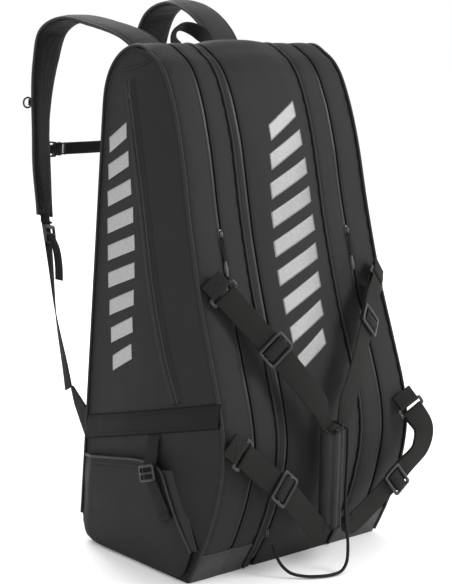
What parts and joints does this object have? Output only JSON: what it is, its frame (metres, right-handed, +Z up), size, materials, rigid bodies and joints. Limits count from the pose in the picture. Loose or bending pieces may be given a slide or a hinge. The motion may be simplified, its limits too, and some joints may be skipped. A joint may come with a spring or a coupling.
{
  "type": "racket bag",
  "caption": "Tall soft racket bag standing on its base, with zipped compartments, a side shoe pocket, webbing carry handles and padded shoulder straps.",
  "frame": {"origin": "on the floor under the middle of the bag's width, on the outer face of the base panel", "axes": "+Z up, -Y towards the zips and carry handles, +Y towards the shoulder straps, +X towards the side without the shoe pocket"},
  "size_m": [0.4579, 0.5841, 0.8398],
  "materials": {
    "polyester": "matte plain-weave polyester",
    "coated": "coated twill, slightly shiny",
    "base_board": "fabric-covered board",
    "lining": "matte",
    "spacer_mesh": "matte spacer mesh",
    "webbing": "ribbed woven",
    "plastic": "satin moulded",
    "cord": "woven"
  },
  "bodies": {
    "bag": {"base_panel": "base_board", "back_panel": "spacer_mesh", "side_panel_left": "polyester", "side_panel_right": "polyester", "gusset_left_outer": "polyester", "gusset_left_inner": "polyester", "centre_panel": "polyester", "gusset_right_inner": "polyester", "gusset_right_outer": "polyester", "zip_left": "lining", "zip_centre": "lining", "zip_right": "lining", "divider_left": "lining", "divider_right": "lining", "piping_side_left": "coated", "piping_divider_left": "coated", "piping_side_right": "coated", "piping_divider_right": "coated", "boot_left": "coated", "boot_right": "coated", "zip_side": "lining", "pocket_band": "polyester", "anchor_upper_left": "webbing", "anchor_upper_right": "webbing", "anchor_lower_left": "webbing", "anchor_lower_right": "webbing", "lower_tab_left": "webbing", "lower_tab_right": "webbing", "keeper_cord": "cord"},
    "carry_grip": {"carry_grip": "webbing", "handle_web_upper_left": "webbing", "handle_web_upper_right": "webbing", "handle_web_lower_left": "webbing", "handle_web_lower_right": "webbing"},
    "glide_upper_left": {"tri_glide_upper_left": "plastic"},
    "glide_upper_right": {"tri_glide_upper_right": "plastic"},
    "glide_lower_left": {"tri_glide_lower_left": "plastic"},
    "glide_lower_right": {"tri_glide_lower_right": "plastic"},
    "pocket": {"shoe_pocket": "polyester", "pocket_gusset": "polyester", "pocket_strap": "webbing"},
    "pocket_lock": {"pocket_lock": "plastic"},
    "strap_left": {"shoulder_pad_left": "spacer_mesh", "adjuster_web_left": "webbing", "chest_socket": "plastic"},
    "strap_right": {"shoulder_pad_right": "spacer_mesh", "adjuster_web_right": "webbing"},
    "lock_left": {"ladder_lock_left": "plastic"},
    "lock_right": {"ladder_lock_right": "plastic"},
    "chest_plug": {"chest_plug": "plastic", "chest_web": "webbing"},
    "pad_ring": {"pad_ring": "plastic"},
    "grab_handle": {"grab_handle": "webbing"},
    "slider_left": {"slider_left": "plastic"},
    "slider_right": {"slider_right": "plastic"},
    "slider_centre": {"slider_centre": "plastic"},
    "slider_side": {"slider_side": "plastic"},
    "pull_left": {"pull_left": "cord"},
    "pull_right": {"pull_right": "cord"},
    "pull_side": {"pull_side": "cord"}
  },
  "joints": [
    {"name": "carry_grip_pull", "type": "slide", "parent": "bag", "child": "carry_grip", "axis": [0, -1, 0], "range_m": [0, 0.04], "deforming": ["handle_web_upper_left", "handle_web_upper_right", "handle_web_lower_left", "handle_web_lower_right", "keeper_cord"]},
    {"name": "glide_upper_left_slide", "type": "slide", "parent": "carry_grip", "child": "glide_upper_left", "axis": [0.5505, -0.3976, -0.734], "range_m": [-0.012, 0.012]},
    {"name": "glide_upper_right_slide", "type": "slide", "parent": "carry_grip", "child": "glide_upper_right", "axis": [-0.6042, -0.3816, -0.6996], "range_m": [-0.012, 0.012]},
    {"name": "glide_lower_left_slide", "type": "slide", "parent": "carry_grip", "child": "glide_lower_left", "axis": [0.7458, -0.0663, -0.6629], "range_m": [-0.012, 0.012]},
    {"name": "glide_lower_right_slide", "type": "slide", "parent": "carry_grip", "child": "glide_lower_right", "axis": [-0.7814, 0.1116, -0.614], "range_m": [-0.006, 0.006]},
    {"name": "pocket_open", "type": "hinge", "parent": "bag", "child": "pocket", "pos_m": [-0.206, 0, 0.006], "axis": [0, -1, 0], "range_deg": [0, 8], "deforming": ["pocket_gusset", "pocket_strap"]},
    {"name": "pocket_lock_tilt", "type": "hinge", "parent": "pocket", "child": "pocket_lock", "pos_m": [-0.2315, -0.032, 0.1625], "axis": [0, -1, 0], "range_deg": [0, 18]},
    {"name": "strap_left_swing", "type": "hinge", "parent": "bag", "child": "strap_left", "pos_m": [0, 0.164, 0.744], "axis": [1, 0, 0], "range_deg": [-14, 25], "deforming": ["adjuster_web_left"]},
    {"name": "strap_right_swing", "type": "hinge", "parent": "bag", "child": "strap_right", "pos_m": [0, 0.164, 0.744], "axis": [1, 0, 0], "range_deg": [-14, 25], "deforming": ["adjuster_web_right"]},
    {"name": "ladder_lock_left_tilt", "type": "hinge", "parent": "strap_left", "child": "lock_left", "pos_m": [-0.178, 0.297, 0.479], "axis": [-0.9207, -0.3903, 0], "range_deg": [0, 30]},
    {"name": "ladder_lock_right_tilt", "type": "hinge", "parent": "strap_right", "child": "lock_right", "pos_m": [0.093, 0.298, 0.487], "axis": [-0.9207, 0.3903, 0], "range_deg": [0, 30]},
    {"name": "chest_plug_slide", "type": "slide", "parent": "strap_right", "child": "chest_plug", "axis": [1, 0, 0], "range_m": [0, 0.02]},
    {"name": "pad_ring_swing", "type": "hinge", "parent": "strap_left", "child": "pad_ring", "pos_m": [-0.1895, 0.327, 0.672], "axis": [0, 0, 1], "range_deg": [-35, 35]},
    {"name": "grab_handle_swing", "type": "hinge", "parent": "bag", "child": "grab_handle", "pos_m": [0, 0.153, 0.75], "axis": [1, 0, 0], "range_deg": [-25, 25]},
    {"name": "slider_left_slide", "type": "slide", "parent": "bag", "child": "slider_left", "axis": [0, 0.2663, 0.9639], "range_m": [0, 0.05]},
    {"name": "slider_right_slide", "type": "slide", "parent": "bag", "child": "slider_right", "axis": [0, 0.2663, 0.9639], "range_m": [0, 0.05]},
    {"name": "slider_centre_slide", "type": "slide", "parent": "bag", "child": "slider_centre", "axis": [0, -0.3026, 0.9531], "range_m": [0, 0.012]},
    {"name": "slider_side_slide", "type": "slide", "parent": "bag", "child": "slider_side", "axis": [-0.025, -0.2948, -0.9552], "range_m": [0, 0.1]},
    {"name": "pull_left_swing", "type": "hinge", "parent": "slider_left", "child": "pull_left", "pos_m": [-0.1345, -0.0697, 0.5065], "axis": [-1, 0, 0], "range_deg": [0, 90]},
    {"name": "pull_right_swing", "type": "hinge", "parent": "slider_right", "child": "pull_right", "pos_m": [0.1347, -0.0735, 0.4935], "axis": [-1, 0, 0], "range_deg": [0, 90]},
    {"name": "pull_side_swing", "type": "hinge", "parent": "slider_side", "child": "pull_side", "pos_m": [-0.1926, 0.0798, 0.7008], "axis": [0, 0.9453, -0.3261], "range_deg": [0, 90]}
  ],
  "couplings": [
    {"joint": "strap_right_swing", "follows": "strap_left_swing", "ratio": 1}
  ]
}
